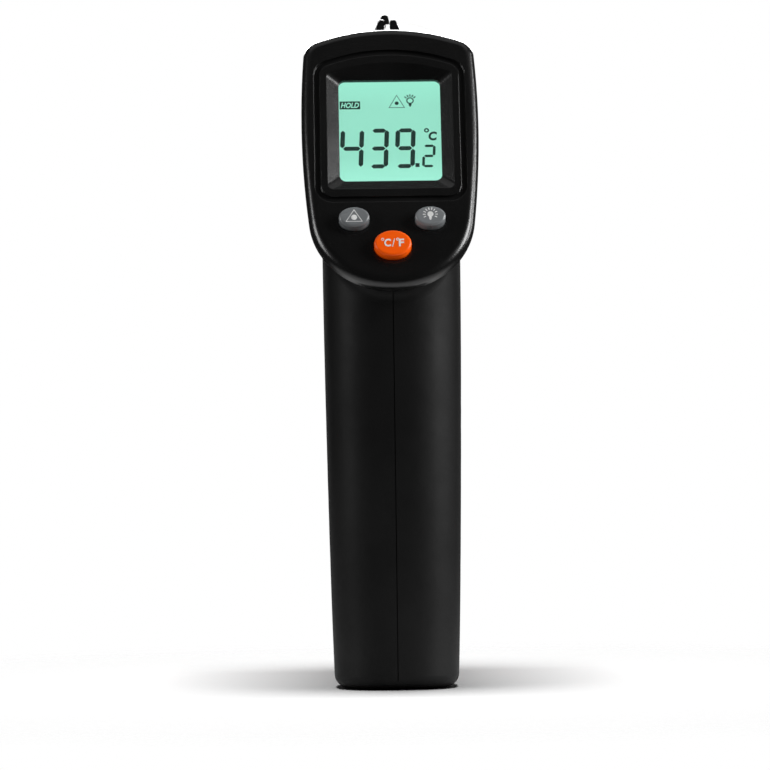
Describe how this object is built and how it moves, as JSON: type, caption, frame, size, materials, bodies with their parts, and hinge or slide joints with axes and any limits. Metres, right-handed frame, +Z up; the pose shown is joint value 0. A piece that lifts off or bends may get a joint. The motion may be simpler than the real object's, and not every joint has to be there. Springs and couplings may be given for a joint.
{
  "type": "infrared thermometer",
  "caption": "Pistol-grip infrared thermometer: tilted backlit display and keys at the back, sensor cone and laser aperture at the nose, trigger under the barrel, battery grip with hinged door.",
  "frame": {"origin": "centre of the flat foot of the grip, on the surface it stands on", "axes": "+Z up along the grip, +Y the way the lens looks, display facing -Y, X across the width"},
  "size_m": [0.0408, 0.1013, 0.1593],
  "materials": {
    "left_shell": "fine-grained satin",
    "right_shell": "fine-grained satin",
    "display_bezel": "fine-grained satin",
    "nose_ring": "fine-grained satin",
    "battery_door": "fine-grained satin",
    "display_window": "clear",
    "laser_window": "clear red",
    "lcd_glass": "clear",
    "lcd_backlight": "lit diffuser",
    "lcd_contact": "matt",
    "lcd_holder": "matt",
    "main_board": "solder mask",
    "key_board": "solder mask",
    "sensor_board": "solder mask",
    "laser_board": "solder mask",
    "trigger_board": "solder mask",
    "board_components": "moulded",
    "board_header": "moulded",
    "board_screws": "zinc",
    "case_screws": "blackened",
    "keypad_mat": "matt",
    "laser_button": "satin",
    "backlight_button": "satin",
    "units_button": "satin",
    "sensor_barrel": "black anodised",
    "lens_ring": "black anodised",
    "ir_lens": "coated",
    "thermopile_can": "nickel",
    "laser_module": "turned",
    "trigger": "satin",
    "trigger_pin": "ground",
    "door_hinge_pin": "ground",
    "trigger_spring": "drawn",
    "trigger_switch": "moulded",
    "battery_left": "printed sleeve",
    "battery_right": "printed sleeve",
    "contact_positive": "nickel plated",
    "contact_negative": "nickel plated",
    "contact_link": "nickel plated",
    "contact_springs": "nickel plated",
    "battery_wire_red": "insulation",
    "battery_wire_black": "insulation",
    "sensor_wires": "insulation",
    "laser_wires": "insulation",
    "switch_wires": "insulation"
  },
  "bodies": {
    "housing": {"left_shell": "left_shell", "right_shell": "right_shell", "display_bezel": "display_bezel", "nose_ring": "nose_ring", "display_window": "display_window", "laser_window": "laser_window", "lcd_glass": "lcd_glass", "lcd_backlight": "lcd_backlight", "lcd_contact": "lcd_contact", "lcd_holder": "lcd_holder", "main_board": "main_board", "key_board": "key_board", "sensor_board": "sensor_board", "laser_board": "laser_board", "trigger_board": "trigger_board", "board_components": "board_components", "board_header": "board_header", "board_screws": "board_screws", "case_screws": "case_screws", "keypad_mat": "keypad_mat", "sensor_barrel": "sensor_barrel", "lens_ring": "lens_ring", "ir_lens": "ir_lens", "thermopile_can": "thermopile_can", "laser_module": "laser_module", "trigger_pin": "trigger_pin", "door_hinge_pin": "door_hinge_pin", "trigger_spring": "trigger_spring", "trigger_switch": "trigger_switch", "battery_left": "battery_left", "battery_right": "battery_right", "contact_positive": "contact_positive", "contact_negative": "contact_negative", "contact_link": "contact_link", "contact_springs": "contact_springs", "battery_wire_red": "battery_wire_red", "battery_wire_black": "battery_wire_black", "sensor_wires": "sensor_wires", "laser_wires": "laser_wires", "switch_wires": "switch_wires"},
    "trigger": {"trigger": "trigger"},
    "laser_key": {"laser_button": "laser_button"},
    "backlight_key": {"backlight_button": "backlight_button"},
    "units_key": {"units_button": "units_button"},
    "door": {"battery_door": "battery_door"}
  },
  "joints": [
    {"name": "trigger_pull", "type": "hinge", "parent": "housing", "child": "trigger", "pos_m": [0, 0.0305, 0.111], "axis": [-1, 0, 0], "range_deg": [0, 6.5], "stiffness_Nm_per_rad": 0.5, "springref_deg": -2.86, "deforming": ["trigger_spring"]},
    {"name": "laser_press", "type": "slide", "parent": "housing", "child": "laser_key", "axis": [0, 0.891, -0.454], "range_m": [0, 0.0008], "stiffness_N_per_m": 1200, "springref_m": -0.0004, "deforming": ["keypad_mat"]},
    {"name": "backlight_press", "type": "slide", "parent": "housing", "child": "backlight_key", "axis": [0, 0.891, -0.454], "range_m": [0, 0.0008], "stiffness_N_per_m": 1200, "springref_m": -0.0004, "deforming": ["keypad_mat"]},
    {"name": "units_press", "type": "slide", "parent": "housing", "child": "units_key", "axis": [0, 0.891, -0.454], "range_m": [0, 0.0008], "stiffness_N_per_m": 1200, "springref_m": -0.0004, "deforming": ["keypad_mat"]},
    {"name": "battery_door_swing", "type": "hinge", "parent": "housing", "child": "door", "pos_m": [0, 0.01491, 0.009], "axis": [-1, 0, 0], "range_deg": [0, 90]}
  ]
}
